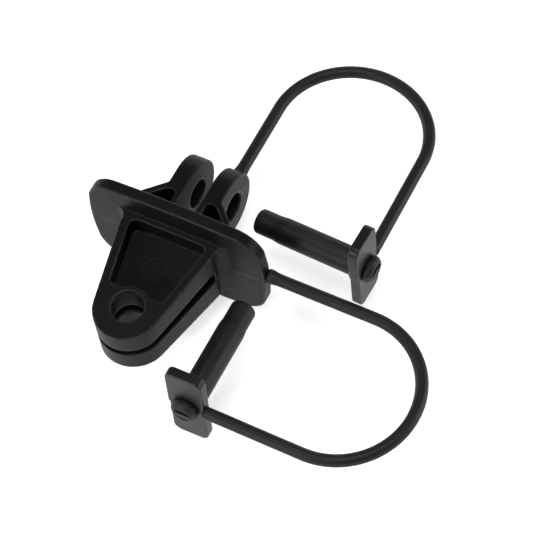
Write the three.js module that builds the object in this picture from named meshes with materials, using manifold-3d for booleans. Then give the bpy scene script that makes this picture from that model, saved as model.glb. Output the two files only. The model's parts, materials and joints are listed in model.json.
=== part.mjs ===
// Two-way clevis coupler with two captive locking pins, each on a stiff U-shaped retainer loop.
// Millimetres, +Z up. The fork points along -Y, the two ears along +Y, and the flange stands between them.
// Everything is built about the middle of the flange, with the joint plane at height 0, then moved so that the
// origin is at the middle of the whole object's footprint, level with the flange's lower edge.
import * as THREE from "three";
import { mergeVertices } from "three/addons/utils/BufferGeometryUtils.js";
import Module from "manifold-3d";

const wasm = await Module();
wasm.setup();

// ---- driving dimensions -------------------------------------------------------------------------------
const JOINT_GAP = 0.24;            // fine joint line between the upper and lower halves
const CLEARANCE = 0.3;             // between pieces that touch
const ROUND_SEGMENTS = 40;

const FLANGE_WIDTH = 67.4;
const FLANGE_HEIGHT = 43.6;
const FLANGE_LOWER_STRETCH = 1.045; // the lower half is a little taller than the upper one
const FLANGE_FOOT = 22.5;          // depth of the flat along the middle of the lower edge
const FLANGE_FRONT_Y = -2.3;
const FLANGE_BACK_Y = 2.2;
const FLANGE_CORNER = 10.5;
const FLANGE_BOW = 0.7;            // how far each straight edge bows out at its middle
const FLANGE_EDGE = 0.4;

const FORK_HOLE_Y = -34.4;         // centre of the upright pin hole in the fork
const FORK_HOLE_RADIUS = 5.45;
const FORK_TIP_RADIUS = 11.9;
const FORK_FLARE = Math.atan(0.19);
const FORK_ROOT_FILLET = 4;
const FORK_TIP_HALF_HEIGHT = 10.5; // at the hole's centre
const FORK_THICKENING = 0.085;     // rise of the outer faces for each millimetre towards the flange
const FORK_EDGE = 0.8;
const SLOT_TIP_HALF_GAP = 1.9;
const SLOT_WIDENING = 0.036;
const SLOT_ROOT_Y = -7;
const HOLE_CHAMFER = 0.5;

const POCKET_RIM = 3.1;            // wall left between the pocket and the fork's sides
const POCKET_BACK_Y = -4.4;
const POCKET_FRONT_Y = -28.6;
const POCKET_DEPTH = 6.5;          // its floor follows the slope of the outer face
const POCKET_FRONT_CORNER = 1.6;
const POCKET_BACK_CORNER = 3.4;
const POCKET_BOSS_RADIUS = 7.7;    // wall kept round the upright hole

const EAR_INNER_X = 3.65;
const EAR_OUTER_X = 10.3;
const EAR_HOLE_Y = 19.9;
const EAR_HOLE_RADIUS = 5.36;
const EAR_TIP_RADIUS = 12.4;
const EAR_EDGE = 0.5;
const GUSSET_REACH = 11.6;         // how far each 45 degree gusset spreads beyond its ear
const GUSSET_POCKET_FLOOR_Z = 3;
const GUSSET_WALL = 2.3;
const GUSSET_POCKET_CORNER = 1.6;

const LOOP_RADIUS = 2.15;
const LOOP_BOW = 26.7;             // height of the half-round end
const LOOP_NECK_RADIUS = 2.6;      // where the first leg leaves the coupler
const LOOP_NECK_LENGTH = 4.5;
const LOOP_TANG_RADIUS = 0.8;
const LOOP_TANG_LENGTH = 5;
const LOOP_SIDES = 8;
const LOOP_STEPS = 72;

const REAR_LOOP_X = 5.8;           // first leg of the rear loop, along +Y from the ear's tip
const REAR_LOOP_BEND_Y = 63.6;
const REAR_LOOP_SPAN = 55.6;       // between the axes of the two legs
const SIDE_LOOP_Y = 0.8;           // first leg of the side loop, along +X from the flange's end
const SIDE_LOOP_BEND_X = 73.6;
const SIDE_LOOP_SPAN = 54.5;

const PIN_RADIUS = 4.78;
const PIN_NOSE_RADIUS = 4.45;
const PIN_LENGTH = 38.8;           // from the head's inner face to the tip
const PIN_NOSE_LENGTH = 7.6;
const PIN_NOSE_TAPER = 2.6;
const PIN_TIP_ROUND = 1.2;
const PIN_TAIL_RADIUS = 3;
const PIN_RIB_WIDTH = 0.8;
const PIN_RIB_HEIGHT = 0.08;
const WASHER_THICKNESS = 0.9;
const WASHER_RADIUS = 5.5;

const HEAD_WIDTH = 13.4;
const HEAD_HALF_HEIGHT = 17.5;
const HEAD_THICKNESS = 3.7;
const HEAD_CORNER = 2.8;
const HEAD_EDGE = 0.45;
const HEAD_LOWER_INSET = 0.45;     // the lower half of a head is a little narrower
const KNOB_RADIUS = 4.8;
const KNOB_HEIGHT = 3.4;
const KNOB_ROUND = 0.9;

const REAR_HEAD_X = 59.1;          // inner face of the rear pin's head
const REAR_HEAD_Y = 17.6;
const SIDE_HEAD_Y = -50.8;         // inner face of the side pin's head
const SIDE_PIN_X = 31.6;
const SIDE_PIN_DROP = 0.7;         // below the joint plane
const SIDE_PIN_DIP = 0.049;        // and its fall and drift towards the tip, for each millimetre
const SIDE_PIN_DRIFT = -0.013;

const PLASTIC = 0x1d1e20;
const LOOP_PLASTIC = 0x202124;

// ---- solids ------------------------------------------------------------------------------------------
function signedVolume(points, triangles) {
  const a = new THREE.Vector3();
  const b = new THREE.Vector3();
  const c = new THREE.Vector3();
  let volume = 0;
  for (let i = 0; i < triangles.length; i += 3) {
    a.fromArray(points, 3 * triangles[i]);
    b.fromArray(points, 3 * triangles[i + 1]);
    c.fromArray(points, 3 * triangles[i + 2]);
    volume += a.dot(b.cross(c)) / 6;
  }
  return volume;
}

// A closed three.js geometry as a manifold solid, with its faces turned outwards.
function solid(geometry) {
  const bare = geometry.clone();
  bare.deleteAttribute("normal");
  bare.deleteAttribute("uv");
  const merged = mergeVertices(bare, 1e-4);
  const points = merged.getAttribute("position").array;
  const index = merged.getIndex().array;
  const kept = [];
  for (let i = 0; i < index.length; i += 3) {
    const [a, b, c] = [index[i], index[i + 1], index[i + 2]];
    if (a !== b && b !== c && c !== a) {
      kept.push(a, b, c);
    }
  }
  if (signedVolume(points, kept) < 0) {
    kept.reverse();
  }
  const mesh = new wasm.Mesh({
    numProp: 3,
    vertProperties: new Float32Array(points),
    triVerts: new Uint32Array(kept),
  });
  return new wasm.Manifold(mesh);
}

function joined(solids) {
  return solids.reduce((all, next) => all.add(next));
}

function drilled(body, tools) {
  return tools.reduce((left, tool) => left.subtract(tool), body);
}

function meshOf(name, body, colour, roughness, placing) {
  const { vertProperties, triVerts } = body.getMesh();
  const geometry = new THREE.BufferGeometry();
  geometry.setAttribute("position", new THREE.BufferAttribute(new Float32Array(vertProperties), 3));
  geometry.setIndex(new THREE.BufferAttribute(new Uint32Array(triVerts), 1));
  geometry.applyMatrix4(placing);
  geometry.computeVertexNormals();
  const material = new THREE.MeshStandardMaterial({ color: colour, roughness, metalness: 0 });
  const mesh = new THREE.Mesh(geometry, material);
  mesh.name = name;
  return mesh;
}

function box(lowX, lowY, lowZ, highX, highY, highZ) {
  const geometry = new THREE.BoxGeometry(highX - lowX, highY - lowY, highZ - lowZ);
  geometry.translate((lowX + highX) / 2, (lowY + highY) / 2, (lowZ + highZ) / 2);
  return solid(geometry);
}

// A round bar with its axis turned from +Y to the given direction, centred on the point.
function bar(radius, length, direction, centre) {
  const geometry = new THREE.CylinderGeometry(radius, radius, length, ROUND_SEGMENTS);
  const turn = new THREE.Quaternion().setFromUnitVectors(new THREE.Vector3(0, 1, 0), direction);
  geometry.applyQuaternion(turn);
  geometry.translate(centre.x, centre.y, centre.z);
  return solid(geometry);
}

// A profile of [radius, distance] points turned about the axis that starts at the point and runs in the
// given direction.
function turned(profile, direction, start) {
  const points = profile.map(([radius, distance]) => new THREE.Vector2(radius, distance));
  const geometry = new THREE.LatheGeometry(points, ROUND_SEGMENTS);
  const turn = new THREE.Quaternion().setFromUnitVectors(new THREE.Vector3(0, 1, 0), direction);
  geometry.applyQuaternion(turn);
  geometry.translate(start.x, start.y, start.z);
  return solid(geometry);
}

// An outline drawn in the XY plane, as a plate from one height to the other.
function plateZ(shape, lowZ, highZ, edge = 0, curveSegments = 16) {
  const geometry = new THREE.ExtrudeGeometry(shape, {
    depth: highZ - lowZ - 2 * edge,
    bevelEnabled: edge > 0,
    bevelThickness: edge,
    bevelSize: edge,
    bevelOffset: -edge,
    bevelSegments: 3,
    curveSegments,
  });
  geometry.translate(0, 0, lowZ + edge);
  return geometry;
}

// The same outline plate stood up, so that its thickness runs along X and the outline lies in YZ.
function plateX(shape, lowX, highX, edge = 0) {
  const geometry = plateZ(shape, lowX, highX, edge);
  const toYZ = new THREE.Matrix4().makeBasis(
    new THREE.Vector3(0, 1, 0), new THREE.Vector3(0, 0, 1), new THREE.Vector3(1, 0, 0));
  geometry.applyMatrix4(toYZ);
  return geometry;
}

// The same outline plate stood up, so that its thickness runs along Y and the outline lies in ZX.
function plateY(shape, lowY, highY, edge = 0) {
  const geometry = plateZ(shape, lowY, highY, edge);
  const toZX = new THREE.Matrix4().makeBasis(
    new THREE.Vector3(0, 0, 1), new THREE.Vector3(1, 0, 0), new THREE.Vector3(0, 1, 0));
  geometry.applyMatrix4(toZX);
  return geometry;
}

function roundedRectangle(lowU, lowV, highU, highV, corner) {
  const shape = new THREE.Shape();
  shape.moveTo(lowU + corner, lowV);
  shape.lineTo(highU - corner, lowV);
  shape.absarc(highU - corner, lowV + corner, corner, -Math.PI / 2, 0, false);
  shape.lineTo(highU, highV - corner);
  shape.absarc(highU - corner, highV - corner, corner, 0, Math.PI / 2, false);
  shape.lineTo(lowU + corner, highV);
  shape.absarc(lowU + corner, highV - corner, corner, Math.PI / 2, Math.PI, false);
  shape.lineTo(lowU, lowV + corner);
  shape.absarc(lowU + corner, lowV + corner, corner, Math.PI, 1.5 * Math.PI, false);
  return shape;
}

// A rounded rectangle about the origin whose straight edges bow outwards a little.
function bowedRectangle(halfU, halfV, corner, bow) {
  const shape = new THREE.Shape();
  const cornerU = halfU - bow - corner;
  const cornerV = halfV - bow - corner;
  const turn = Math.PI / 2;
  shape.moveTo(-cornerU, -halfV + bow);
  shape.quadraticCurveTo(0, -halfV - bow, cornerU, -halfV + bow);
  shape.absarc(cornerU, -cornerV, corner, -turn, 0, false);
  shape.quadraticCurveTo(halfU + bow, 0, halfU - bow, cornerV);
  shape.absarc(cornerU, cornerV, corner, 0, turn, false);
  shape.quadraticCurveTo(0, halfV + bow, -cornerU, halfV - bow);
  shape.absarc(-cornerU, cornerV, corner, turn, 2 * turn, false);
  shape.quadraticCurveTo(-halfU - bow, 0, -halfU + bow, -cornerV);
  shape.absarc(-cornerU, -cornerV, corner, 2 * turn, 3 * turn, false);
  return shape;
}

const ALONG_X = new THREE.Vector3(1, 0, 0);
const ALONG_Y = new THREE.Vector3(0, 1, 0);
const ALONG_Z = new THREE.Vector3(0, 0, 1);

// ---- coupler body ------------------------------------------------------------------------------------
function flange() {
  const outline = bowedRectangle(FLANGE_HEIGHT / 2, FLANGE_WIDTH / 2, FLANGE_CORNER, FLANGE_BOW);
  const geometry = plateY(outline, FLANGE_FRONT_Y, FLANGE_BACK_Y, FLANGE_EDGE);
  const points = geometry.getAttribute("position");
  for (let i = 0; i < points.count; i += 1) {
    const stretched = points.getZ(i) * (points.getZ(i) < 0 ? FLANGE_LOWER_STRETCH : 1);
    points.setZ(i, Math.max(stretched, -FLANGE_FOOT));
  }
  return solid(geometry);
}

// Where a fork side, offset inwards, stands at a distance back from the hole's centre.
function forkSideX(y, inset) {
  return ((FORK_TIP_RADIUS - inset) + (y - FORK_HOLE_Y) * Math.sin(FORK_FLARE)) / Math.cos(FORK_FLARE);
}

function forkOutline() {
  const fillet = FORK_ROOT_FILLET;
  const filletY = FLANGE_FRONT_Y - fillet;
  const filletX = forkSideX(filletY, -fillet);
  const shape = new THREE.Shape();
  shape.moveTo(filletX, FLANGE_BACK_Y - 1);
  shape.lineTo(-filletX, FLANGE_BACK_Y - 1);
  shape.lineTo(-filletX, FLANGE_FRONT_Y);
  shape.absarc(-filletX, filletY, fillet, Math.PI / 2, -FORK_FLARE, true);
  shape.absarc(0, FORK_HOLE_Y, FORK_TIP_RADIUS, Math.PI + FORK_FLARE, 2 * Math.PI - FORK_FLARE, false);
  shape.absarc(filletX, filletY, fillet, Math.PI + FORK_FLARE, Math.PI / 2, true);
  return shape;
}

// The fork's side view: both plates with the slot between them.
function forkSideView() {
  const tipY = FORK_HOLE_Y - FORK_TIP_RADIUS - 1;
  const outer = (y) => FORK_TIP_HALF_HEIGHT + FORK_THICKENING * (y - FORK_HOLE_Y);
  const inner = (y) => SLOT_TIP_HALF_GAP + SLOT_WIDENING * (y - FORK_HOLE_Y);
  const shape = new THREE.Shape();
  shape.moveTo(FLANGE_BACK_Y, -outer(FLANGE_BACK_Y));
  shape.lineTo(FLANGE_BACK_Y, outer(FLANGE_BACK_Y));
  shape.lineTo(tipY, outer(tipY));
  shape.lineTo(tipY, inner(tipY));
  shape.lineTo(SLOT_ROOT_Y - 1, inner(SLOT_ROOT_Y));
  shape.lineTo(SLOT_ROOT_Y, inner(SLOT_ROOT_Y) - 1);
  shape.lineTo(SLOT_ROOT_Y, 1 - inner(SLOT_ROOT_Y));
  shape.lineTo(SLOT_ROOT_Y - 1, -inner(SLOT_ROOT_Y));
  shape.lineTo(tipY, -inner(tipY));
  shape.lineTo(tipY, -outer(tipY));
  return shape;
}

function forkPocket(side) {
  const front = POCKET_FRONT_Y;
  const back = POCKET_BACK_Y;
  const frontX = forkSideX(front, POCKET_RIM);
  const backX = forkSideX(back, POCKET_RIM);
  const near = front + POCKET_FRONT_CORNER;
  const far = back - POCKET_BACK_CORNER;
  const shape = new THREE.Shape();
  shape.moveTo(-frontX + POCKET_FRONT_CORNER, front);
  shape.lineTo(frontX - POCKET_FRONT_CORNER, front);
  shape.quadraticCurveTo(frontX, front, forkSideX(near, POCKET_RIM), near);
  shape.lineTo(forkSideX(far, POCKET_RIM), far);
  shape.quadraticCurveTo(backX, back, backX - POCKET_BACK_CORNER, back);
  shape.lineTo(-backX + POCKET_BACK_CORNER, back);
  shape.quadraticCurveTo(-backX, back, -forkSideX(far, POCKET_RIM), far);
  shape.lineTo(-forkSideX(near, POCKET_RIM), near);
  shape.quadraticCurveTo(-frontX, front, -frontX + POCKET_FRONT_CORNER, front);
  const reach = 2 * FORK_TIP_HALF_HEIGHT;
  const floor = FORK_TIP_HALF_HEIGHT - POCKET_DEPTH;
  const geometry = plateZ(shape, floor, reach);
  const points = geometry.getAttribute("position");
  for (let i = 0; i < points.count; i += 1) {
    if (points.getZ(i) < reach / 2) {
      points.setZ(i, floor + FORK_THICKENING * (points.getY(i) - FORK_HOLE_Y));
    }
  }
  const boss = bar(POCKET_BOSS_RADIUS, 3 * reach, ALONG_Z, new THREE.Vector3(0, FORK_HOLE_Y, 0));
  const pocket = solid(geometry).subtract(boss);
  return side > 0 ? pocket : pocket.mirror([0, 0, 1]);
}

// A cutter that widens both mouths of a through hole by a small chamfer.
function mouthChamfers(radius, direction, centre, halfLength) {
  const cone = [
    [0, -HOLE_CHAMFER], [radius, -HOLE_CHAMFER], [radius + HOLE_CHAMFER, 0], [radius + HOLE_CHAMFER, 1],
    [0, 1],
  ];
  const out = direction.clone().multiplyScalar(halfLength);
  const back = direction.clone().negate();
  return [
    turned(cone, direction, centre.clone().add(out)),
    turned(cone, back, centre.clone().sub(out)),
  ];
}

function fork() {
  const body = solid(plateZ(forkOutline(), -2 * FORK_TIP_HALF_HEIGHT, 2 * FORK_TIP_HALF_HEIGHT))
    .intersect(solid(plateX(forkSideView(), -FLANGE_WIDTH / 2, FLANGE_WIDTH / 2)));
  const centre = new THREE.Vector3(0, FORK_HOLE_Y, 0);
  return drilled(body, [
    bar(FORK_HOLE_RADIUS, 3 * FLANGE_HEIGHT, ALONG_Z, centre),
    ...mouthChamfers(FORK_HOLE_RADIUS, ALONG_Z, centre, FORK_TIP_HALF_HEIGHT),
    forkPocket(1),
    forkPocket(-1),
  ]);
}

function earOutline() {
  const shape = new THREE.Shape();
  shape.moveTo(FLANGE_BACK_Y - 1, -EAR_TIP_RADIUS);
  shape.lineTo(EAR_HOLE_Y, -EAR_TIP_RADIUS);
  shape.absarc(EAR_HOLE_Y, 0, EAR_TIP_RADIUS, -Math.PI / 2, Math.PI / 2, false);
  shape.lineTo(FLANGE_BACK_Y - 1, EAR_TIP_RADIUS);
  return shape;
}

// The 45 degree gusset on the outer side of an ear, drawn for the ear on the +X side.
function gussetOutline() {
  const shape = new THREE.Shape();
  shape.moveTo(EAR_INNER_X + 1, FLANGE_BACK_Y - 1);
  shape.lineTo(EAR_OUTER_X + GUSSET_REACH + 1, FLANGE_BACK_Y - 1);
  shape.lineTo(EAR_OUTER_X - 1, FLANGE_BACK_Y + GUSSET_REACH + 1);
  shape.lineTo(EAR_INNER_X + 1, FLANGE_BACK_Y + GUSSET_REACH + 1);
  return shape;
}

// The dome-shaped hollow in a gusset's top, with walls of even thickness and rounded corners.
function gussetHollow() {
  const left = EAR_INNER_X + GUSSET_WALL;
  const low = FLANGE_BACK_Y + 0.2;
  const slantSum = EAR_OUTER_X + FLANGE_BACK_Y + GUSSET_REACH - GUSSET_WALL * Math.SQRT2;
  const top = FLANGE_BACK_Y + GUSSET_REACH - GUSSET_WALL;
  const r = GUSSET_POCKET_CORNER;
  const shape = new THREE.Shape();
  shape.moveTo(left, low);
  shape.lineTo(slantSum - low, low);
  shape.lineTo(slantSum - top + r, top - r);
  shape.quadraticCurveTo(slantSum - top, top, slantSum - top - r, top);
  shape.lineTo(left + r, top);
  shape.quadraticCurveTo(left, top, left, top - r);
  return shape;
}

function ear(side) {
  const blade = solid(plateX(earOutline(), EAR_INNER_X, EAR_OUTER_X, EAR_EDGE));
  const gusset = solid(plateZ(gussetOutline(), -EAR_TIP_RADIUS, EAR_TIP_RADIUS));
  const core = gussetHollow();
  const pockets = [
    solid(plateZ(core, GUSSET_POCKET_FLOOR_Z, 2 * EAR_TIP_RADIUS)),
    solid(plateZ(core, -2 * EAR_TIP_RADIUS, -GUSSET_POCKET_FLOOR_Z)),
  ];
  const whole = drilled(blade.add(gusset), pockets);
  return side > 0 ? whole : whole.mirror([1, 0, 0]);
}

function couplerBody() {
  const centre = new THREE.Vector3(0, EAR_HOLE_Y, 0);
  const tangHole = LOOP_TANG_RADIUS + CLEARANCE;
  return drilled(joined([flange(), fork(), ear(1), ear(-1)]), [
    bar(EAR_HOLE_RADIUS, FLANGE_WIDTH, ALONG_X, centre),
    ...mouthChamfers(EAR_HOLE_RADIUS, ALONG_X, centre, EAR_OUTER_X),
    bar(tangHole, 2 * LOOP_TANG_LENGTH + 1, ALONG_Y,
      new THREE.Vector3(REAR_LOOP_X, EAR_HOLE_Y + EAR_TIP_RADIUS, 0)),
    bar(tangHole, 2 * LOOP_TANG_LENGTH + 1, ALONG_X,
      new THREE.Vector3(FLANGE_WIDTH / 2, SIDE_LOOP_Y, 0)),
  ]);
}

function aboveJoint(body) {
  return body.intersect(box(-200, -200, JOINT_GAP / 2, 200, 200, 200));
}

function belowJoint(body) {
  return body.intersect(box(-200, -200, -200, 200, 200, -JOINT_GAP / 2));
}

// ---- retainer loops ----------------------------------------------------------------------------------
// The half-round end of a loop, from the end of the first leg to the start of the second.
class LoopBow extends THREE.Curve {
  constructor(start, along, across, span) {
    super();
    this.start = start;
    this.along = along;
    this.across = across;
    this.span = span;
  }

  getPoint(t, target = new THREE.Vector3()) {
    const angle = Math.PI * t;
    return target.copy(this.start)
      .addScaledVector(this.across, (1 - Math.cos(angle)) * this.span / 2)
      .addScaledVector(this.along, Math.sin(angle) * LOOP_BOW);
  }
}

function loopBody(root, along, across, span, firstLeg, secondLeg, tangOffset) {
  const bendStart = root.clone().addScaledVector(along, firstLeg);
  const bendEnd = bendStart.clone().addScaledVector(across, span);
  const end = bendEnd.clone().addScaledVector(along, -secondLeg);
  const path = new THREE.CurvePath();
  path.add(new THREE.LineCurve3(root, bendStart));
  path.add(new LoopBow(bendStart, along, across, span));
  path.add(new THREE.LineCurve3(bendEnd, end));
  const section = new THREE.Shape();
  section.absarc(0, 0, LOOP_RADIUS, 0, 2 * Math.PI, false);
  const tube = new THREE.ExtrudeGeometry(section, {
    steps: LOOP_STEPS,
    curveSegments: LOOP_SIDES,
    bevelEnabled: false,
    extrudePath: path,
  });
  const neck = turned([
    [0, 0], [LOOP_NECK_RADIUS, 0], [LOOP_NECK_RADIUS, 0.8], [LOOP_RADIUS * 0.99, LOOP_NECK_LENGTH],
    [0, LOOP_NECK_LENGTH],
  ], along, root);
  const rootTang = bar(LOOP_TANG_RADIUS, LOOP_TANG_LENGTH + 1, along,
    root.clone().addScaledVector(along, (1 - LOOP_TANG_LENGTH) / 2));
  const endTang = bar(LOOP_TANG_RADIUS, LOOP_TANG_LENGTH / 2 + 1, along,
    end.clone().add(tangOffset).addScaledVector(along, 0.5 - LOOP_TANG_LENGTH / 4));
  return joined([solid(tube), neck, rootTang, endTang]);
}

// ---- pins and heads ----------------------------------------------------------------------------------
// Each pin is drawn along its own direction, from the head's inner face to the tip.
function shankBody(direction, headFace) {
  const round = PIN_TIP_ROUND;
  const taperEnd = PIN_LENGTH - PIN_NOSE_LENGTH;
  const profile = [[0, -HEAD_THICKNESS - KNOB_HEIGHT / 2], [PIN_TAIL_RADIUS, -HEAD_THICKNESS - KNOB_HEIGHT / 2],
    [PIN_TAIL_RADIUS, WASHER_THICKNESS + CLEARANCE], [PIN_RADIUS, WASHER_THICKNESS + CLEARANCE],
    [PIN_RADIUS, taperEnd - PIN_NOSE_TAPER], [PIN_NOSE_RADIUS, taperEnd]];
  for (let step = 0; step <= 4; step += 1) {
    const angle = step * Math.PI / 8;
    profile.push([
      PIN_NOSE_RADIUS - round + round * Math.cos(angle), PIN_LENGTH - round + round * Math.sin(angle),
    ]);
  }
  profile.push([0, PIN_LENGTH]);
  const shank = turned(profile, direction, headFace);
  const ribLength = taperEnd - PIN_NOSE_TAPER - WASHER_THICKNESS - 4;
  const middle = headFace.clone().addScaledVector(direction, WASHER_THICKNESS + 2 + ribLength / 2);
  const size = new THREE.Vector3(PIN_RIB_WIDTH, PIN_RIB_WIDTH, 2 * (PIN_RADIUS + PIN_RIB_HEIGHT));
  if (Math.abs(direction.x) > 0.5) {
    size.x = ribLength;
  } else {
    size.y = ribLength;
  }
  const rib = box(middle.x - size.x / 2, middle.y - size.y / 2, -size.z / 2,
    middle.x + size.x / 2, middle.y + size.y / 2, size.z / 2);
  return shank.add(rib);
}

function washerBody(direction, headFace) {
  const bore = PIN_TAIL_RADIUS + CLEARANCE;
  const near = CLEARANCE / 2;
  const profile = [
    [bore, near], [WASHER_RADIUS, near], [WASHER_RADIUS, WASHER_THICKNESS], [bore, WASHER_THICKNESS],
    [bore, near],
  ];
  return turned(profile, direction, headFace);
}

function knobBody(direction, headFace) {
  const out = direction.clone().negate();
  const face = headFace.clone().addScaledVector(out, HEAD_THICKNESS + CLEARANCE / 2);
  const bore = PIN_TAIL_RADIUS + CLEARANCE;
  const depth = KNOB_HEIGHT / 2 + CLEARANCE;
  const profile = [[0, depth], [bore, depth], [bore, 0], [KNOB_RADIUS, 0]];
  for (let step = 0; step <= 4; step += 1) {
    const angle = step * Math.PI / 8;
    profile.push([
      KNOB_RADIUS - KNOB_ROUND + KNOB_ROUND * Math.cos(angle),
      KNOB_HEIGHT - KNOB_ROUND + KNOB_ROUND * Math.sin(angle),
    ]);
  }
  profile.push([0, KNOB_HEIGHT]);
  return turned(profile, out, face);
}

// One half of a head, with half of the bores for the pin's tail and for the ferrule's tang.
function headHalf(pin, half) {
  const inset = half > 0 ? 0 : HEAD_LOWER_INSET;
  const reach = HEAD_WIDTH / 2 - inset;
  let plate;
  if (Math.abs(pin.direction.x) > 0.5) {
    const outline = roundedRectangle(pin.axis - reach, -HEAD_HALF_HEIGHT, pin.axis + HEAD_WIDTH / 2,
      HEAD_HALF_HEIGHT, HEAD_CORNER);
    plate = plateX(outline, pin.face.x, pin.face.x + HEAD_THICKNESS, HEAD_EDGE);
  } else {
    const outline = roundedRectangle(-HEAD_HALF_HEIGHT, pin.axis - reach, HEAD_HALF_HEIGHT,
      pin.axis + HEAD_WIDTH / 2, HEAD_CORNER);
    plate = plateY(outline, pin.face.y - HEAD_THICKNESS, pin.face.y, HEAD_EDGE);
  }
  const whole = drilled(solid(plate), [
    bar(PIN_TAIL_RADIUS + CLEARANCE, 4 * HEAD_THICKNESS, pin.direction, pin.face),
    bar(LOOP_TANG_RADIUS + CLEARANCE, LOOP_TANG_LENGTH + 1, pin.legDirection, pin.tangBore),
  ]);
  return half > 0 ? aboveJoint(whole) : belowJoint(whole);
}

// ---- assembly ----------------------------------------------------------------------------------------
const REAR_PIN = {
  name: "rear",
  direction: new THREE.Vector3(-1, 0, 0),
  face: new THREE.Vector3(REAR_HEAD_X, REAR_HEAD_Y, 0),
  axis: REAR_HEAD_Y,
  legDirection: ALONG_Y,
  tangBore: new THREE.Vector3(REAR_HEAD_X + HEAD_THICKNESS / 2 - 0.3, REAR_HEAD_Y + HEAD_WIDTH / 2, 0),
};

const SIDE_PIN = {
  name: "side",
  direction: ALONG_Y,
  face: new THREE.Vector3(SIDE_PIN_X, SIDE_HEAD_Y, 0),
  axis: SIDE_PIN_X,
  legDirection: ALONG_X,
  tangBore: new THREE.Vector3(SIDE_PIN_X + HEAD_WIDTH / 2, SIDE_HEAD_Y - HEAD_THICKNESS / 2 - 0.4,
    SIDE_PIN_DROP),
};

// Each pin lies turned a little about the middle of its head's inner face. The rear one points at the middle
// of the ears' holes; the side one hangs a little low.
function turnedAbout(point, from, to, shift) {
  const turn = new THREE.Quaternion().setFromUnitVectors(from, to.clone().normalize());
  return new THREE.Matrix4()
    .makeTranslation(point.x + shift.x, point.y + shift.y, point.z + shift.z)
    .multiply(new THREE.Matrix4().makeRotationFromQuaternion(turn))
    .multiply(new THREE.Matrix4().makeTranslation(-point.x, -point.y, -point.z));
}

const asDrawn = new THREE.Matrix4();
const rearPlacing = turnedAbout(REAR_PIN.face, REAR_PIN.direction,
  new THREE.Vector3(-REAR_HEAD_X, EAR_HOLE_Y - REAR_HEAD_Y, 0), new THREE.Vector3());
const sidePlacing = turnedAbout(SIDE_PIN.face, SIDE_PIN.direction,
  new THREE.Vector3(SIDE_PIN_DRIFT, 1, -SIDE_PIN_DIP), new THREE.Vector3(0, 0, -SIDE_PIN_DROP));

const group = new THREE.Group();

function addPart(name, body, placing = asDrawn, colour = PLASTIC, roughness = 0.45) {
  group.add(meshOf(name, body, colour, roughness, placing));
}

const body = couplerBody();
addPart("coupler_half_upper", aboveJoint(body));
addPart("coupler_half_lower", belowJoint(body));

const rearRoot = new THREE.Vector3(REAR_LOOP_X, EAR_HOLE_Y + EAR_TIP_RADIUS + CLEARANCE, 0);
const rearEnd = REAR_HEAD_Y + HEAD_WIDTH / 2 + CLEARANCE;
const rearTangOffset = new THREE.Vector3(REAR_PIN.tangBore.x + 0.3 - REAR_LOOP_X - REAR_LOOP_SPAN, 0, 0);
addPart("rear_loop", loopBody(rearRoot, ALONG_Y, ALONG_X, REAR_LOOP_SPAN,
  REAR_LOOP_BEND_Y - rearRoot.y, REAR_LOOP_BEND_Y - rearEnd, rearTangOffset),
asDrawn, LOOP_PLASTIC, 0.4);

const sideRoot = new THREE.Vector3(FLANGE_WIDTH / 2 + CLEARANCE, SIDE_LOOP_Y, 0);
const sideEnd = SIDE_PIN_X + HEAD_WIDTH / 2 + CLEARANCE;
const sideTangOffset = new THREE.Vector3(0, SIDE_PIN.tangBore.y + 0.13 - SIDE_LOOP_Y + SIDE_LOOP_SPAN, 0);
addPart("side_loop", loopBody(sideRoot, ALONG_X, ALONG_Y.clone().negate(), SIDE_LOOP_SPAN,
  SIDE_LOOP_BEND_X - sideRoot.x, SIDE_LOOP_BEND_X - sideEnd, sideTangOffset),
asDrawn, LOOP_PLASTIC, 0.4);

for (const pin of [REAR_PIN, SIDE_PIN]) {
  const placing = pin === REAR_PIN ? rearPlacing : sidePlacing;
  addPart(`${pin.name}_head_upper`, headHalf(pin, 1), placing);
  addPart(`${pin.name}_head_lower`, headHalf(pin, -1), placing);
  addPart(`${pin.name}_pin_shank`, shankBody(pin.direction, pin.face), placing);
  addPart(`${pin.name}_pin_washer`, washerBody(pin.direction, pin.face), placing);
  addPart(`${pin.name}_pin_knob`, knobBody(pin.direction, pin.face), placing);
}

const bounds = new THREE.Box3().setFromObject(group);
const footprint = bounds.getCenter(new THREE.Vector3());
for (const mesh of group.children) {
  mesh.geometry.translate(-footprint.x, -footprint.y, -bounds.min.z);
}

export default group;
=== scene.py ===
import json
import math

import bmesh
import bpy
from mathutils import Matrix, Vector


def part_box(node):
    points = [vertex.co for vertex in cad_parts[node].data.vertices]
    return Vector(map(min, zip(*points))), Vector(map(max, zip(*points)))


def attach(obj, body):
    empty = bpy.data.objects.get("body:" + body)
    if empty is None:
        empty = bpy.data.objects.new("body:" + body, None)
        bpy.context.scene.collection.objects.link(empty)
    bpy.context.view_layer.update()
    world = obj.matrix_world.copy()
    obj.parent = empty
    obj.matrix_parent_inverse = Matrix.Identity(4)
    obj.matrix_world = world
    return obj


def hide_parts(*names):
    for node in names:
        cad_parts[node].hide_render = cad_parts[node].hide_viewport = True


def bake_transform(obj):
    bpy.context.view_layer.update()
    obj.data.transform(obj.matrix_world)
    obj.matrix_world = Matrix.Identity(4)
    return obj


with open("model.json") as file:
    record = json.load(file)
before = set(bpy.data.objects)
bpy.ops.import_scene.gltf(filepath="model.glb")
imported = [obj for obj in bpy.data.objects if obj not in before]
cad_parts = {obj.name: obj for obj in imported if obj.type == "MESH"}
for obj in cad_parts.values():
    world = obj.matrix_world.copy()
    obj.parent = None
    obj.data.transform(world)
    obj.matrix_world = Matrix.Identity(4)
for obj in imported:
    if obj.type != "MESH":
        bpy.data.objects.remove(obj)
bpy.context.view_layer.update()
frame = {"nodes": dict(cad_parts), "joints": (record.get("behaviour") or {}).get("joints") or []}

MM = 0.001
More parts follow.
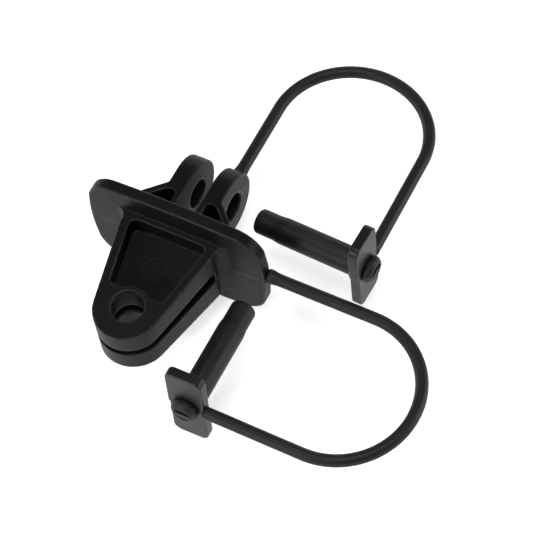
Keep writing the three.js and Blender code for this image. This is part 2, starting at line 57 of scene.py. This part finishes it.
UP = Vector((0, 0, 1))
ALONG_X = Vector((1, 0, 0))
ALONG_Y = Vector((0, 1, 0))
NODES = frame["nodes"]

# ---- coupler sizes, the same as in the CAD -----------------------------------------------------------
JOINT_GAP = 0.24 * MM            # between the two halves
EAR_TIP_Y = 32.3 * MM            # from the flange's middle
POCKET_FLOOR = 4 * MM            # height of the hollow's floor above the joint plane, at the fork's hole
FORK_HOLE_Y = -34.4 * MM         # from the flange's middle
FORK_THICKENING = 0.085          # rise of that floor for each unit towards the flange
SEAM_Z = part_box("coupler_half_upper")[0].z - JOINT_GAP / 2

# ---- loop, head and pin sizes, the same as in the CAD ------------------------------------------------
LOOP_BOW = 26.7 * MM             # how far a loop's round end stands out past its legs
NECK_RADIUS = 2.6 * MM           # the loop is thicker where it leaves the coupler
NECK_LENGTH = 4.5 * MM
HEAD_THICKNESS = 3.7 * MM
PIN_RADIUS = 4.78 * MM
PIN_LENGTH = 38.8 * MM
NOSE_RADIUS = 4.45 * MM
NOSE_LENGTH = 7.6 * MM
KNOB_HEIGHT = 3.4 * MM
KNOB_GAP = 0.15 * MM             # between the knob and the head

# ---- shapes of the visual pieces ---------------------------------------------------------------------
SHELL_GAP = 0.16 * MM            # the open line between the coupler's shells
COUPLER_VOXEL = 0.25 * MM
HEAD_VOXEL = 0.2 * MM
SMOOTHING_ROUNDS = 3
SMOOTHING_FACTOR = 0.5

RING_X = -0.4 * MM               # from the flange's middle
RING_Y = -16 * MM
RING_RADIUS = 4.5 * MM
RING_WIDTH = 0.3 * MM
RING_HEIGHT = 0.14 * MM
RING_DEPTH = 0.3 * MM            # how far it is sunk in the floor
RING_EDGE = 0.08 * MM

CORD_RADIUS = 2.16 * MM          # of a loop's round bar, which the CAD makes eight-sided and 0.01 mm thinner
LOOP_SIDES = 44
LOOP_BEND_STEPS = 140
LOOP_LEG_STEPS = 36
LOOP_RIDGE = 0.05 * MM           # height of the moulding ridge
LOOP_RIDGE_WIDTH = 0.05          # as a share of the loop's radius
LOOP_OVERLAP = 0.3 * MM          # how far the loop's end reaches into the head

WASHER_START = 0.1 * MM
WASHER_RADIUS = 5.5 * MM
WASHER_RIM = 0.8 * MM
WASHER_TOP = 1.15 * MM
WASHER_TOP_RADIUS = 5.0 * MM
WASHER_EDGE = 0.25 * MM

BARREL_START = 0.2 * MM
BARREL_EDGE = 0.5 * MM
NOSE_TAPER = 2.6 * MM
TIP_ROUNDING = 1.5 * MM
TIP_STEPS = 8

RIB_START = 1.3 * MM
RIB_MARGIN = 0.3 * MM            # between the rib's end and the taper
RIB_WIDTH = 0.7 * MM
RIB_THICKNESS = 0.3 * MM
RIB_EDGE = 0.1 * MM

BUTTON_RADIUS = 4.8 * MM
BUTTON_RIM = 1.9 * MM            # height of the straight side
BUTTON_TOP_RADIUS = 3.5 * MM
BUTTON_SINK = 0.3 * MM           # how far the top lies below the bar
BUTTON_EDGE = 0.5 * MM
DISH_RADIUS = 2.9 * MM
DISH_FLOOR_RADIUS = 2.5 * MM
DISH_DEPTH = 0.35 * MM
BAR_THICKNESS = 0.5 * MM
BAR_LENGTH = 5.6 * MM
BAR_WIDTH = 1.5 * MM
BAR_EDGE = 0.2 * MM

TURNED_SEGMENTS = 72
ARC_STEPS = 5

# ---- camera, in degrees and metres -------------------------------------------------------------------
CAMERA_AZIMUTH = 34.6
CAMERA_ELEVATION = 58.9
CAMERA_LEAN = 8.7
CAMERA_DISTANCE = 710.7 * MM
CAMERA_LENS = 142.2
LOOK_X = 31.36 * MM              # from the flange's middle
LOOK_Y = 3.74 * MM

# ---- studio ------------------------------------------------------------------------------------------
FLOOR_GLOW = 0.68
FLOOR_REACH = 4
FLOOR_DROP = 0.2 * MM
WALL_GLOW = 0.45
CEILING_GLOW = 0.10
WALL_TOP = 0.05                  # as the height of a view direction, 0 level and 1 straight up
CEILING_START = 0.55

# name, degrees round from the front, degrees up, metres away, width and height, watts
LIGHTS = (
    ("key", 20, 84, 1.2, (0.5, 0.5), 6.5),
    ("front", -19, 25, 0.9, (0.2, 0.06), 3.2),
    ("right", 114, 18, 0.9, (0.4, 0.12), 3.2),
    ("back", 200, 16, 0.9, (0.5, 0.2), 1.2),
    ("left", -85, 16, 0.9, (0.4, 0.15), 2.0),
)

# ---- material detail: noise scales are per metre, depths in metres -----------------------------------
PLASTIC_IOR = 1.38
CLOUD_SCALE = 70
SPECK_SCALE = 900
WAVE_SCALE = 160
GRAIN_SCALE = 5200
GRAIN_DEPTH = 0.02 * MM
GRAIN_STRENGTH = 0.55
WAVE_DEPTH = 0.05 * MM
WAVE_STRENGTH = 0.4
NOISE_SPAN = (0.3, 0.7)          # where most of a noise's values lie
EDGE_SPAN = (0.505, 0.54)        # pointiness from a flat face to a full edge
WEAR_AND_HIGHLIGHT_FLOOR = 0.35                # least wear and painted highlight of an edge, as a share of the most
# the paler edge colour: partly wear, partly a painted highlight along edges
WORN_HIGHLIGHT_GAIN = 2
WORN_HIGHLIGHT_LIFT = 0.022
WORN_POLISH = 0.24
CLOUD_ROUGHNESS = 0.04
SPECK_ROUGHNESS = 0.025
CLOUD_DARK = (0.80, 0.80, 0.82, 1)
WHITE = (1, 1, 1, 1)


# ---- placing -----------------------------------------------------------------------------------------
def flange_middle():
    """The x and y of the flange's middle, which the coupler's sizes are measured from."""
    low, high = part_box("coupler_half_upper")
    return (low.x + high.x) / 2, high.y - EAR_TIP_Y


def towards(azimuth, elevation):
    """The direction so many degrees round from the front and so many up."""
    a = math.radians(azimuth)
    e = math.radians(elevation)
    return Vector((math.sin(a) * math.cos(e), -math.cos(a) * math.cos(e), math.sin(e)))


def linked(name, data):
    """A new object in the scene."""
    made = bpy.data.objects.new(name, data)
    bpy.context.scene.collection.objects.link(made)
    return made


def add_camera():
    flange_x, flange_y = flange_middle()
    target = Vector((flange_x + LOOK_X, flange_y + LOOK_Y, SEAM_Z))
    back = towards(CAMERA_AZIMUTH, CAMERA_ELEVATION)
    camera = linked("camera", bpy.data.cameras.new("camera"))
    camera.data.lens = CAMERA_LENS
    camera.data.sensor_width = 36
    camera.data.clip_start = 0.01
    camera.data.clip_end = 50
    camera.rotation_mode = "QUATERNION"
    camera.location = target + back * CAMERA_DISTANCE
    level = (-back).to_track_quat("-Z", "Y").to_matrix().to_4x4()
    lean = Matrix.Rotation(math.radians(-CAMERA_LEAN), 4, "Z")
    camera.rotation_quaternion = (level @ lean).to_quaternion()
    bpy.context.scene.camera = camera


# ---- material nodes ----------------------------------------------------------------------------------
def noise(tree, scale, detail, seed):
    """Noise in object coordinates, shifted by a seed so that no two patterns line up."""
    place = tree.nodes.new("ShaderNodeTexCoord")
    shift = tree.nodes.new("ShaderNodeVectorMath")
    shift.operation = "ADD"
    shift.inputs[1].default_value = (seed, seed * 0.7, -seed)
    tree.links.new(place.outputs["Object"], shift.inputs[0])
    node = tree.nodes.new("ShaderNodeTexNoise")
    node.inputs["Scale"].default_value = scale
    node.inputs["Detail"].default_value = detail
    tree.links.new(shift.outputs[0], node.inputs["Vector"])
    return node.outputs["Fac"]


def mapped(tree, value, source, target):
    """A value stretched from one span to another, and held inside it."""
    node = tree.nodes.new("ShaderNodeMapRange")
    node.inputs["From Min"].default_value = source[0]
    node.inputs["From Max"].default_value = source[1]
    node.inputs["To Min"].default_value = target[0]
    node.inputs["To Max"].default_value = target[1]
    tree.links.new(value, node.inputs["Value"])
    return node.outputs["Result"]


def arithmetic(tree, operation, first, second):
    node = tree.nodes.new("ShaderNodeMath")
    node.operation = operation
    for socket, value in zip(node.inputs, (first, second)):
        if isinstance(value, (int, float)):
            socket.default_value = value
        else:
            tree.links.new(value, socket)
    return node.outputs[0]


def bumped(tree, height, strength, depth, below=None):
    """A bumpy normal, on top of another one where there is one."""
    node = tree.nodes.new("ShaderNodeBump")
    node.inputs["Strength"].default_value = strength
    node.inputs["Distance"].default_value = depth
    tree.links.new(height, node.inputs["Height"])
    if below is not None:
        tree.links.new(below, node.inputs["Normal"])
    return node.outputs["Normal"]


def edge_wear_and_highlight(tree, specks, wear_and_highlight_amount, edge_span):
    """How worn a point is, which is also where a highlight is painted: most on sharp outer edges, and in
    specks.
    """
    geometry = tree.nodes.new("ShaderNodeNewGeometry")
    edges = mapped(tree, geometry.outputs["Pointiness"], edge_span, (0, 1))
    speckled = mapped(tree, specks, NOISE_SPAN, (WEAR_AND_HIGHLIGHT_FLOOR * wear_and_highlight_amount, wear_and_highlight_amount))
    return arithmetic(tree, "MULTIPLY", edges, speckled)


def plastic_colour(tree, base, worn_and_highlit, clouds):
    """The base colour, painted paler along edges and in specks, partly as wear and partly as a painted
    highlight, and darker in soft clouds.
    """
    colour = tree.nodes.new("ShaderNodeMix")
    colour.data_type = "RGBA"
    colour.inputs["A"].default_value = (*base, 1)
    # edge colour: paler as wear and as a painted highlight
    colour.inputs["B"].default_value = (*[min(1, c * WORN_HIGHLIGHT_GAIN + WORN_HIGHLIGHT_LIFT) for c in base], 1)
    tree.links.new(worn_and_highlit, colour.inputs["Factor"])
    ramp = tree.nodes.new("ShaderNodeValToRGB")
    dark, light = ramp.color_ramp.elements
    dark.position = 0.3
    dark.color = CLOUD_DARK
    light.position = 0.75
    light.color = WHITE
    tree.links.new(clouds, ramp.inputs["Fac"])
    tint = tree.nodes.new("ShaderNodeMix")
    tint.data_type = "RGBA"
    tint.blend_type = "MULTIPLY"
    tint.inputs["Factor"].default_value = 1
    tree.links.new(colour.outputs["Result"], tint.inputs["A"])
    tree.links.new(ramp.outputs["Color"], tint.inputs["B"])
    return tint.outputs["Result"]


def plastic_roughness(tree, roughness, worn_and_highlit, clouds, specks):
    """The roughness, uneven in clouds and specks, and smoother where it is worn."""
    cloud_span = (roughness - CLOUD_ROUGHNESS, roughness + CLOUD_ROUGHNESS)
    cloudy = mapped(tree, clouds, NOISE_SPAN, cloud_span)
    speckled = mapped(tree, specks, NOISE_SPAN, (-SPECK_ROUGHNESS, SPECK_ROUGHNESS))
    uneven = arithmetic(tree, "ADD", cloudy, speckled)
    return arithmetic(tree, "SUBTRACT", uneven, arithmetic(tree, "MULTIPLY", worn_and_highlit, WORN_POLISH))


def plastic(name, base, roughness, gloss, wear_and_highlight_amount, grain=GRAIN_DEPTH, edge_span=EDGE_SPAN):
    """Moulded black plastic: a fine spark-eroded grain, cloudy polish, and smoother edges painted paler,
    partly as wear and partly as a painted highlight.
    """
    material = bpy.data.materials.new(name)
    material.use_nodes = True
    tree = material.node_tree
    shader = tree.nodes["Principled BSDF"]
    shader.inputs["IOR"].default_value = PLASTIC_IOR
    shader.inputs["Specular IOR Level"].default_value = gloss
    clouds = noise(tree, CLOUD_SCALE, 3, 0.31)
    specks = noise(tree, SPECK_SCALE, 4, 0.17)
    worn_and_highlit = edge_wear_and_highlight(tree, specks, wear_and_highlight_amount, edge_span)
    grained = bumped(tree, noise(tree, GRAIN_SCALE, 2, 0.53), GRAIN_STRENGTH, grain)
    wavy = bumped(tree, noise(tree, WAVE_SCALE, 2, 0.91), WAVE_STRENGTH, WAVE_DEPTH, grained)
    rough = plastic_roughness(tree, roughness, worn_and_highlit, clouds, specks)
    tree.links.new(plastic_colour(tree, base, worn_and_highlit, clouds), shader.inputs["Base Color"])
    tree.links.new(rough, shader.inputs["Roughness"])
    tree.links.new(wavy, shader.inputs["Normal"])
    return material


# The paler edges of these materials are partly wear and partly a painted highlight, which the coupler's
# narrower edge span spreads to its softer edges.
COUPLER = plastic("coupler_plastic", (0.0090, 0.0093, 0.0100), 0.46, gloss=0.17, wear_and_highlight_amount=1.0,
                  edge_span=(0.502, 0.518))
LOOP = plastic("loop_plastic", (0.0110, 0.0113, 0.0120), 0.52, gloss=0.45, wear_and_highlight_amount=0.2, grain=0.012 * MM)
HEAD = plastic("head_plastic", (0.0080, 0.0083, 0.0090), 0.44, gloss=0.5, wear_and_highlight_amount=0.8)
PIN = plastic("pin_plastic", (0.0110, 0.0113, 0.0120), 0.56, gloss=0.45, wear_and_highlight_amount=0.5)


# ---- mesh helpers ------------------------------------------------------------------------------------
def new_piece(name, mesh, material, body, replaced=()):
    piece = linked(name, mesh)
    mesh.materials.clear()
    mesh.materials.append(material)
    for face in mesh.polygons:
        face.use_smooth = True
    if body:
        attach(piece, body)
    if replaced:
        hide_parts(*replaced)
    return piece


def to_mesh(bm, name):
    mesh = bpy.data.meshes.new(name)
    bm.to_mesh(mesh)
    bm.free()
    return mesh


def merged_copy(node_names):
    """One mesh from CAD nodes, with vertices that lie together joined up."""
    bm = bmesh.new()
    for name in node_names:
        bm.from_mesh(NODES[name].data)
    bmesh.ops.remove_doubles(bm, verts=bm.verts, dist=1e-7)
    return bm


def softened(mesh, voxel):
    """A copy of a closed mesh with its edges rounded as a mould leaves them."""
    holder = linked("holder", mesh)
    remesh = holder.modifiers.new("remesh", "REMESH")
    remesh.mode = "VOXEL"
    remesh.voxel_size = voxel
    smooth = holder.modifiers.new("smooth", "SMOOTH")
    smooth.factor = SMOOTHING_FACTOR
    smooth.iterations = SMOOTHING_ROUNDS
    graph = bpy.context.evaluated_depsgraph_get()
    result = bpy.data.meshes.new_from_object(holder.evaluated_get(graph))
    bpy.data.objects.remove(holder)
    return result


def cut_off(mesh, name, height, keep_above):
    """The part of a closed mesh above or below a height, closed with a flat face."""
    bm = bmesh.new()
    bm.from_mesh(mesh)
    bmesh.ops.bisect_plane(
        bm, geom=bm.verts[:] + bm.edges[:] + bm.faces[:], dist=1e-8,
        plane_co=(0, 0, height), plane_no=(0, 0, 1),
        clear_outer=not keep_above, clear_inner=keep_above,
    )
    rim = [e for e in bm.edges if e.is_boundary]
    bmesh.ops.triangle_fill(bm, use_beauty=True, edges=rim, normal=(0, 0, -1 if keep_above else 1))
    bmesh.ops.recalc_face_normals(bm, faces=bm.faces)
    return to_mesh(bm, name)


def swept(name, centres, tangents, radii):
    """A closed round bar along a flat path, with a faint moulding ridge on its two sides."""
    bm = bmesh.new()
    rings = []
    for centre, tangent, radius in zip(centres, tangents, radii):
        side = tangent.cross(UP).normalized()
        ring = []
        for k in range(LOOP_SIDES):
            angle = 2 * math.pi * k / LOOP_SIDES
            near = min(abs(math.sin(angle / 2)), abs(math.cos(angle / 2)))
            reach = radius + LOOP_RIDGE * math.exp(-(near / LOOP_RIDGE_WIDTH) ** 2)
            offset = side * math.cos(angle) * reach + UP * math.sin(angle) * reach
            ring.append(bm.verts.new(centre + offset))
        rings.append(ring)
    for first, second in zip(rings, rings[1:]):
        for k in range(LOOP_SIDES):
            n = (k + 1) % LOOP_SIDES
            bm.faces.new((first[k], first[n], second[n], second[k]))
    bm.faces.new(rings[0][::-1])
    bm.faces.new(rings[-1])
    bmesh.ops.recalc_face_normals(bm, faces=bm.faces)
    return to_mesh(bm, name)


def turned_ring(bm, axis, centre, radius):
    """One circle of vertices round an axis, or a single vertex on it."""
    if radius < 1e-9:
        return [bm.verts.new(centre)]
    side = axis.orthogonal().normalized()
    other = axis.cross(side)
    angles = [2 * math.pi * k / TURNED_SEGMENTS for k in range(TURNED_SEGMENTS)]
    return [bm.verts.new(centre + (side * math.cos(a) + other * math.sin(a)) * radius) for a in angles]


def turned(name, profile, start, direction):
    """A closed solid of revolution: profile is (radius, distance) pairs along the direction."""
    bm = bmesh.new()
    axis = direction.normalized()
    rings = [turned_ring(bm, axis, start + axis * distance, radius) for radius, distance in profile]
    pairs = list(zip(rings, rings[1:]))
    if len(rings[0]) > 1 and len(rings[-1]) > 1:
        pairs.append((rings[-1], rings[0]))
    for first, second in pairs:
        for k in range(TURNED_SEGMENTS):
            n = (k + 1) % TURNED_SEGMENTS
            corners = [first[k % len(first)], first[n % len(first)],
                       second[n % len(second)], second[k % len(second)]]
            unique = list(dict.fromkeys(corners))
            if len(unique) > 2:
                bm.faces.new(unique)
    bmesh.ops.recalc_face_normals(bm, faces=bm.faces)
    return to_mesh(bm, name)


def rounded_profile(points, radius):
    """The profile with each inner corner turned into a small arc."""
    result = [points[0]]
    for before, corner, after in zip(points, points[1:], points[2:]):
        here = Vector(corner)
        back = Vector(before) - here
        ahead = Vector(after) - here
        cut = min(radius, back.length * 0.45, ahead.length * 0.45)
        if cut < 1e-6:
            result.append(corner)
            continue
        start = here + back.normalized() * cut
        end = here + ahead.normalized() * cut
        for k in range(ARC_STEPS + 1):
            t = k / ARC_STEPS
            result.append(tuple(start * (1 - t) ** 2 + here * 2 * t * (1 - t) + end * t * t))
    result.append(points[-1])
    return result


def bevelled_box(name, centre, size, direction, edge):
    """A small block with rounded edges: its size is along the direction, across it and upright."""
    bm = bmesh.new()
    bmesh.ops.create_cube(bm, size=1)
    bmesh.ops.scale(bm, vec=size, verts=bm.verts)
    bmesh.ops.bevel(bm, geom=bm.edges[:], offset=edge, segments=3, profile=0.5, affect="EDGES")
    along = direction.normalized()
    across = UP.cross(along).normalized()
    turn = Matrix((along, across, along.cross(across))).transposed()
    bmesh.ops.rotate(bm, verts=bm.verts, cent=(0, 0, 0), matrix=turn)
    bmesh.ops.translate(bm, verts=bm.verts, vec=centre)
    return to_mesh(bm, name)


# ---- coupler -----------------------------------------------------------------------------------------
def add_coupler():
    """Both halves softened as one, then parted again by a thin open line."""
    bm = merged_copy(["coupler_half_upper", "coupler_half_lower"])
    for vertex in bm.verts:
        if abs(vertex.co.z - SEAM_Z) < JOINT_GAP:
            vertex.co.z = SEAM_Z
    soft = softened(to_mesh(bm, "coupler_whole"), COUPLER_VOXEL)
    for half, side in (("upper", 1), ("lower", -1)):
        name = "coupler_" + half + "_shell"
        mesh = cut_off(soft, name, SEAM_Z + side * SHELL_GAP / 2, side > 0)
        new_piece(name, mesh, COUPLER, "coupler", ["coupler_half_" + half])


def add_floor_ring():
    """A plain raised ring on the sloping floor of the fork's upper hollow."""
    flange_x, flange_y = flange_middle()
    height = POCKET_FLOOR + FORK_THICKENING * (RING_Y - FORK_HOLE_Y)
    centre = Vector((flange_x + RING_X, flange_y + RING_Y, SEAM_Z + height))
    upright = Vector((0, -FORK_THICKENING, 1))
    inner_radius = RING_RADIUS - RING_WIDTH
    profile = rounded_profile([
        (inner_radius, -RING_DEPTH), (inner_radius, RING_HEIGHT),
        (RING_RADIUS, RING_HEIGHT), (RING_RADIUS, -RING_DEPTH),
    ], RING_EDGE)
    ring = turned("ring", profile, centre, upright)
    new_piece("fork_floor_ring", ring, COUPLER, "coupler")


# ---- loops -------------------------------------------------------------------------------------------
def loop_line(root, along, across, span, first_leg, second_leg):
    """Centres and tangents from the first leg's root, round the bow, to the second leg's end."""
    centres = []
    tangents = []
    for k in range(LOOP_LEG_STEPS):
        centres.append(root + along * first_leg * k / LOOP_LEG_STEPS)
        tangents.append(along)
    bend = root + along * first_leg
    for k in range(LOOP_BEND_STEPS + 1):
        angle = math.pi * k / LOOP_BEND_STEPS
        sine, cosine = math.sin(angle), math.cos(angle)
        centres.append(bend + across * (1 - cosine) * span / 2 + along * sine * LOOP_BOW)
        tangents.append((across * sine * span / 2 + along * cosine * LOOP_BOW).normalized())
    for k in range(1, LOOP_LEG_STEPS + 1):
        centres.append(bend + across * span - along * second_leg * k / LOOP_LEG_STEPS)
        tangents.append(-along)
    return centres, tangents


def neck_radius(distance):
    """The loop's radius at a distance from where its first leg leaves the coupler."""
    share = min(1, max(0, distance / NECK_LENGTH))
    eased = share * share * (3 - 2 * share)
    return NECK_RADIUS + (CORD_RADIUS - NECK_RADIUS) * eased


def loop_piece(name, start, along, across, span, legs):
    """The visual loop, not yet riding on a body, and the centres of its rings."""
    centres, tangents = loop_line(start, along, across, span, legs[0], legs[1] + LOOP_OVERLAP)
    radii = [neck_radius((centre - start).length) for centre in centres]
    mesh = swept(name + "_loop_bail", centres, tangents, radii)
    piece = new_piece(name + "_loop_bail", mesh, LOOP, None, [name + "_loop"])
    return piece, centres


def add_rear_loop():
    """The rear loop, running from the ear at one end to the sliding head at the other; it is attached to no
    body.
    """
    low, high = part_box("rear_loop")
    ear_tip_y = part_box("coupler_half_upper")[1].y
    head_edge_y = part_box("rear_head_upper")[1].y
    start = Vector((low.x + NECK_RADIUS, ear_tip_y, (low.z + high.z) / 2))
    span = high.x - CORD_RADIUS - start.x
    bend_y = high.y - CORD_RADIUS - LOOP_BOW
    legs = (bend_y - start.y, bend_y - head_edge_y)
    piece, centres = loop_piece("rear", start, ALONG_Y, ALONG_X, span, legs)
    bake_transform(piece)
    # A weight for each vertex, the same round each ring, by its share along the loop; nothing uses these
    # weights.
    weights = []
    for centre in centres:
        share = min(1, max(0, (centre.x - start.x) / span))
        weights += [share] * LOOP_SIDES


def add_side_loop():
    low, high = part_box("side_loop")
    flange_end_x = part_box("coupler_half_upper")[1].x
    head_edge_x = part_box("side_head_upper")[1].x
    start = Vector((flange_end_x, high.y - NECK_RADIUS, (low.z + high.z) / 2))
    span = start.y - low.y - CORD_RADIUS
    bend_x = high.x - CORD_RADIUS - LOOP_BOW
    legs = (bend_x - start.x, bend_x - head_edge_x)
    piece, _ = loop_piece("side", start, ALONG_X, -ALONG_Y, span, legs)
    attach(piece, "side_bail")


# ---- heads and pins: direction points along the pin, from its head to its nose -----------------------
def head_face(name, direction):
    """The middle of a head's inner face, where the pin stands."""
    low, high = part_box(name + "_pin_knob")
    knob_middle = (low + high) / 2
    return knob_middle + direction * (HEAD_THICKNESS + KNOB_GAP + KNOB_HEIGHT / 2)


def add_head(name, body):
    for half in ("upper", "lower"):
        node = name + "_head_" + half
        mesh = softened(to_mesh(merged_copy([node]), node), HEAD_VOXEL)
        new_piece(node + "_shell", mesh, HEAD, body, [node])


def add_washer(name, body, face, direction):
    inner_radius = PIN_RADIUS * 0.5
    profile = rounded_profile([
        (inner_radius, WASHER_START), (WASHER_RADIUS, WASHER_START), (WASHER_RADIUS, WASHER_RIM),
        (WASHER_TOP_RADIUS, WASHER_TOP), (inner_radius, WASHER_TOP),
    ], WASHER_EDGE)
    washer = turned("washer", profile, face, direction)
    new_piece(name + "_pin_washer_ring", washer, PIN, body, [name + "_pin_washer"])


def rounded_tip():
    """The profile of the pin's rounded tip, from its side to its flat end."""
    points = []
    for k in range(TIP_STEPS + 1):
        angle = math.pi / 2 * k / TIP_STEPS
        radius = NOSE_RADIUS - TIP_ROUNDING + TIP_ROUNDING * math.cos(angle)
        distance = PIN_LENGTH - TIP_ROUNDING + TIP_ROUNDING * math.sin(angle)
        points.append((radius, distance))
    return points


def add_barrel(name, body, face, direction):
    nose_start = PIN_LENGTH - NOSE_LENGTH
    tip = rounded_tip()
    shank = rounded_profile([
        (0, BARREL_START), (PIN_RADIUS, BARREL_START), (PIN_RADIUS, nose_start - NOSE_TAPER),
        (NOSE_RADIUS, nose_start), tip[0],
    ], BARREL_EDGE)
    barrel = turned("barrel", shank + tip[1:] + [(0, PIN_LENGTH)], face, direction)
    new_piece(name + "_pin_barrel", barrel, PIN, body, [name + "_pin_shank"])


def add_rib(name, body, face, direction):
    """The raised moulding rib along the top of the pin."""
    rib_end = PIN_LENGTH - NOSE_LENGTH - NOSE_TAPER - RIB_MARGIN
    length = rib_end - RIB_START
    upright = direction.cross(UP.cross(direction)).normalized()
    centre = face + direction * (RIB_START + length / 2) + upright * PIN_RADIUS
    rib = bevelled_box("rib", centre, (length, RIB_WIDTH, RIB_THICKNESS), direction, RIB_EDGE)
    new_piece(name + "_pin_rib", rib, PIN, body)


def add_button(name, body, face, direction):
    """A dished round knob on the head's outer face, with a flat bar across its dish."""
    start = face - direction * (HEAD_THICKNESS + KNOB_GAP)
    top = KNOB_HEIGHT - BUTTON_SINK
    dish_floor = top - DISH_DEPTH
    profile = rounded_profile([
        (0, 0), (BUTTON_RADIUS, 0), (BUTTON_RADIUS, BUTTON_RIM), (BUTTON_TOP_RADIUS, top),
        (DISH_RADIUS, top), (DISH_FLOOR_RADIUS, dish_floor), (0, dish_floor),
    ], BUTTON_EDGE)
    button = turned("button", profile, start, -direction)
    new_piece(name + "_pin_button", button, PIN, body, [name + "_pin_knob"])
    centre = start - direction * (KNOB_HEIGHT - BAR_THICKNESS / 2)
    bar = bevelled_box("bar", centre, (BAR_THICKNESS, BAR_LENGTH, BAR_WIDTH), direction, BAR_EDGE)
    new_piece(name + "_pin_button_bar", bar, PIN, body)


def add_head_and_pin(name, body, pin_body, direction):
    face = head_face(name, direction)
    add_head(name, body)
    for add_part in (add_washer, add_barrel, add_rib, add_button):
        add_part(name, pin_body, face, direction)


# ---- stage -------------------------------------------------------------------------------------------
def add_floor():
    """A pale table that glows a little."""
    bm = bmesh.new()
    bmesh.ops.create_grid(bm, x_segments=8, y_segments=8, size=FLOOR_REACH)
    floor = linked("floor", to_mesh(bm, "floor"))
    floor.location.z = -FLOOR_DROP
    material = bpy.data.materials.new("floor")
    material.use_nodes = True
    shader = material.node_tree.nodes["Principled BSDF"]
    shader.inputs["Base Color"].default_value = (0.8, 0.8, 0.8, 1)
    shader.inputs["Roughness"].default_value = 0.9
    shader.inputs["Specular IOR Level"].default_value = 0.1
    shader.inputs["Emission Color"].default_value = WHITE
    shader.inputs["Emission Strength"].default_value = FLOOR_GLOW
    floor.data.materials.append(material)


def add_world():
    """A studio whose walls are pale near the table and dark overhead."""
    world = bpy.data.worlds.new("world")
    bpy.context.scene.world = world
    world.use_nodes = True
    tree = world.node_tree
    place = tree.nodes.new("ShaderNodeTexCoord")
    split = tree.nodes.new("ShaderNodeSeparateXYZ")
    tree.links.new(place.outputs["Generated"], split.inputs[0])
    strength = mapped(tree, split.outputs["Z"], (WALL_TOP, CEILING_START), (WALL_GLOW, CEILING_GLOW))
    strength.node.interpolation_type = "SMOOTHSTEP"
    tree.links.new(strength, tree.nodes["Background"].inputs["Strength"])


def add_light(name, azimuth, elevation, distance, size, power):
    data = bpy.data.lights.new(name, "AREA")
    data.shape = "RECTANGLE"
    data.size, data.size_y = size
    data.energy = power
    light = linked(name, data)
    back = towards(azimuth, elevation)
    light.location = Vector((0, 0, SEAM_Z)) + back * distance
    light.rotation_mode = "QUATERNION"
    light.rotation_quaternion = (-back).to_track_quat("-Z", "Y")


def add_studio():
    add_floor()
    add_world()
    for light in LIGHTS:
        add_light(*light)
    view = bpy.context.scene.view_settings
    view.view_transform = "Standard"
    view.look = "None"


# ---- build -------------------------------------------------------------------------------------------
add_camera()
add_coupler()
add_floor_ring()
add_rear_loop()
add_side_loop()
for joint in frame["joints"]:
    if joint["name"] == "rear_pin_turn":
        add_head_and_pin("rear", "rear_head", "rear_pin", -Vector(joint["axis"]))
    if joint["name"] == "side_pin_turn":
        add_head_and_pin("side", "side_bail", "side_pin", -Vector(joint["axis"]))
add_studio()
